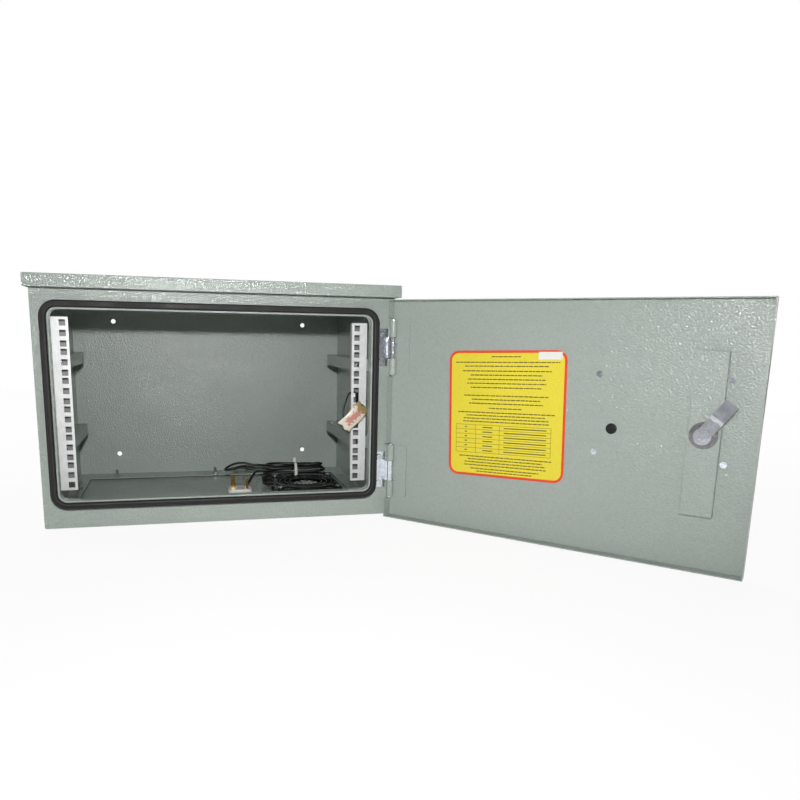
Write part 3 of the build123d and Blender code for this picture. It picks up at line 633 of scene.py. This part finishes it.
# %% Packet film
packet_low, packet_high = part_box("key_packet")
packet_centre = (packet_low + packet_high) / 2
packet_length, packet_width, packet_swell = 0.050, 0.025, 0.0019
packet_tilt = math.radians(46)
packet_colours = {"film": (0.74, 0.66, 0.54), "red": (0.60, 0.27, 0.22), "gold": (0.33, 0.25, 0.11)}
field_height, field_reach, gold_from = 0.0165, 0.027, 0.026
ragged_reach = 0.022
crease_scale, crease_strength, crease_depth = 240.0, 0.7, 0.0008

packet_film, tree, shader = new_material("packet_film", packet_colours["film"], 0.2)
here = object_place(tree)
creases = add_node(tree, "ShaderNodeTexNoise", {"Vector": here, "Scale": crease_scale, "Detail": 3.0})
laid_flat = add_node(tree, "ShaderNodeMapping", {"Vector": here, "Location": packet_centre,
                                                 "Rotation": (0, -packet_tilt, 0)}, vector_type="TEXTURE")
sides = add_node(tree, "ShaderNodeSeparateXYZ", {"Vector": laid_flat.outputs["Vector"]})
ragged = sum_node(tree, "MULTIPLY", creases.outputs["Fac"], ragged_reach)
across = sum_node(tree, "ADD", sum_node(tree, "ABSOLUTE", sides.outputs["Z"]), ragged)
along = sum_node(tree, "ADD", sum_node(tree, "ABSOLUTE", sides.outputs["X"]), ragged)
red_field = sum_node(tree, "MULTIPLY", sum_node(tree, "LESS_THAN", across, field_height),
                     sum_node(tree, "LESS_THAN", along, field_reach))
gold_end = sum_node(tree, "GREATER_THAN", sum_node(tree, "ADD", sides.outputs["X"], ragged), gold_from)
with_red = mixed(tree, red_field, (*packet_colours["film"], 1), (*packet_colours["red"], 1))
with_gold = mixed(tree, gold_end, with_red, (*packet_colours["gold"], 1))
tree.links.new(with_gold, shader.inputs["Base Color"])
bumped(tree, shader, creases.outputs["Fac"], crease_strength, crease_depth)
print("packet film in", len(packet_colours), "colours")

# %% [markdown]
# ## Shape of the key packet
#
# A packet is two films sealed at the rim and blown up a little by what is inside, so it is made from a grid
# that is swollen in the middle, creased, and closed by the same grid from behind. A cloth simulation could do
# this too, but at this size it would hardly show.

# %% Key packet
rim_half = 0.00005
swell_power = 0.6
packet_place = Matrix.Translation(packet_centre) @ Matrix.Rotation(-packet_tilt, 4, "Y")

mesh = bmesh.new()
bmesh.ops.create_grid(mesh, x_segments=24, y_segments=14, size=0.5)
for vert in mesh.verts:
    right, up = vert.co.x, vert.co.y
    inner = max(0.0, (1 - (2 * right) ** 2) * (1 - (2 * up) ** 2))
    crease = 0.82 + 0.18 * math.sin(31 * right + 17 * up) * math.sin(13 * right - 23 * up)
    bulge = packet_swell * crease * inner ** swell_power
    warp = 1 + 0.06 * math.sin(7 * right + 11 * up)
    vert.co = (right * packet_length * warp, -bulge - rim_half, up * packet_width * warp)
back = bmesh.ops.duplicate(mesh, geom=mesh.faces[:])
back_verts = [item for item in back["geom"] if isinstance(item, bmesh.types.BMVert)]
bmesh.ops.scale(mesh, vec=(1, -1, 1), verts=back_verts)
rims = [edge for edge in mesh.edges if edge.is_boundary]
bmesh.ops.bridge_loops(mesh, edges=rims)
bmesh.ops.recalc_face_normals(mesh, faces=mesh.faces[:])
bmesh.ops.transform(mesh, matrix=packet_place, verts=mesh.verts[:])
key_pouch = mesh_object("key_pouch", mesh, packet_film)
for polygon in key_pouch.data.polygons:
    polygon.use_smooth = True
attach(key_pouch, "cabinet")
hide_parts("key_packet")
print("packet of", len(key_pouch.data.polygons), "faces")

# %% [markdown]
# ## Floor and background
#
# The cabinet stands on a plain white floor in front of white. Both look white to the camera, but give the
# cabinet less light than such a white would. Polished metal looks flat when all that it mirrors is white, so
# reflections show a dimmer room on the camera's side, and a floor that dims with distance. To the camera the
# floor gets whiter with distance, so that no horizon shows.

# %% Floor and background
ambient_strength = 0.07
room_dim = 0.22
floor_half = 20
mirror_near, mirror_far = 0.6, 0.2
cover_near, cover_far = 0.92, 1.0


def white_to_camera(tree, mirror_share):
    """1 for what the camera or a refraction sees, a share for reflections, and 0 for light on the object."""
    path = tree.nodes.new("ShaderNodeLightPath")
    mirrored = sum_node(tree, "MULTIPLY", path.outputs["Is Glossy Ray"], mirror_share)
    seen = sum_node(tree, "MAXIMUM", path.outputs["Is Camera Ray"], mirrored)
    return sum_node(tree, "MAXIMUM", seen, path.outputs["Is Transmission Ray"])


def room_in_reflections(tree):
    """1 towards the background and overhead, and less towards the dim room that the camera stands in."""
    look = tree.nodes.new("ShaderNodeTexCoord").outputs["Generated"]
    way = add_node(tree, "ShaderNodeSeparateXYZ", {"Vector": look})
    ahead = mapped(tree, way.outputs["Y"], room_dim, 1.0, -0.5, 0.25)
    above = mapped(tree, way.outputs["Z"], 0.0, 1.0, 0.3, 0.8)
    path = tree.nodes.new("ShaderNodeLightPath")
    return sum_node(tree, "MAXIMUM", sum_node(tree, "MAXIMUM", ahead, above), path.outputs["Is Camera Ray"])


world = bpy.data.worlds.new("studio")
bpy.context.scene.world = world
world.use_nodes = True
tree = world.node_tree
tree.nodes.clear()
ambient = add_node(tree, "ShaderNodeBackground", {"Color": (1, 1, 1, 1), "Strength": ambient_strength})
room = room_in_reflections(tree)
white = add_node(tree, "ShaderNodeBackground", {"Color": (1, 1, 1, 1), "Strength": room})
choice = add_node(tree, "ShaderNodeMixShader", {0: white_to_camera(tree, 1.0), 1: ambient.outputs[0],
                                                2: white.outputs[0]})
ends = tree.nodes.new("ShaderNodeOutputWorld")
tree.links.new(choice.outputs[0], ends.inputs["Surface"])

floor_paint = bpy.data.materials.new("white_floor")
floor_paint.use_nodes = True
tree = floor_paint.node_tree
tree.nodes.clear()
matt = add_node(tree, "ShaderNodeBsdfDiffuse", {"Color": (0.82, 0.82, 0.82, 1)})
glow = add_node(tree, "ShaderNodeEmission", {"Color": (1, 1, 1, 1), "Strength": 1.0})
away = add_node(tree, "ShaderNodeVectorMath", {0: object_place(tree)}, operation="LENGTH").outputs["Value"]
mirror_share = mapped(tree, away, mirror_near, mirror_far, 0.5, 1.5)
paled = mapped(tree, away, cover_near, cover_far, 0.9, 3.0)
cover = sum_node(tree, "MULTIPLY", white_to_camera(tree, mirror_share), paled)
choice = add_node(tree, "ShaderNodeMixShader", {0: cover, 1: matt.outputs[0], 2: glow.outputs[0]})
ends = tree.nodes.new("ShaderNodeOutputMaterial")
tree.links.new(choice.outputs[0], ends.inputs["Surface"])

mesh = bmesh.new()
bmesh.ops.create_grid(mesh, x_segments=1, y_segments=1, size=floor_half)
floor = mesh_object("floor", mesh, floor_paint)
print("floor and background ready")

# %% [markdown]
# ## Light
#
# The photograph was lit by a lamp just above the camera, which gives the shadow under the header and the
# glints on the coat. A small square lamp stands there. Two large soft lamps fill its shadows, and three
# more stand behind and light the roof, the sides and the back, which the photograph doesn't show.

# %% Lamps
flash_rise = 0.110
front_target = (0.12, -0.2, 0.03)
back_target = (0, 0.1, 0.25)


def square_lamp(name, place, target, size, power, spread):
    """A square lamp that faces a target, with a beam that fades towards the angle of its spread."""
    lamp = bpy.data.lights.new(name, "AREA")
    lamp.size = size
    lamp.spread = math.radians(spread)
    lamp.energy = power
    made = place_object(name, lamp)
    made.location = place
    made.rotation_euler = (Vector(target) - Vector(place)).to_track_quat("-Z", "Y").to_euler()


square_lamp("camera_lamp", camera_place + Vector((0, 0, flash_rise)), front_target, 0.03, 5.6, 130)
square_lamp("left_lamp", (-1.9, -1.5, 1.0), front_target, 1.2, 0.8, 180)
square_lamp("upper_lamp", (0.2, -1.2, 2.4), front_target, 1.6, 1.2, 180)
square_lamp("back_left_lamp", (-1.8, 1.2, 1.1), back_target, 1.2, 24.0, 180)
square_lamp("back_right_lamp", (1.9, 1.2, 1.1), back_target, 1.2, 24.0, 180)
square_lamp("back_top_lamp", (0, 1.3, 2.0), back_target, 1.2, 20.0, 180)
bpy.context.scene.view_settings.view_transform = "Standard"
print("lamps", [item.name for item in bpy.data.lights])
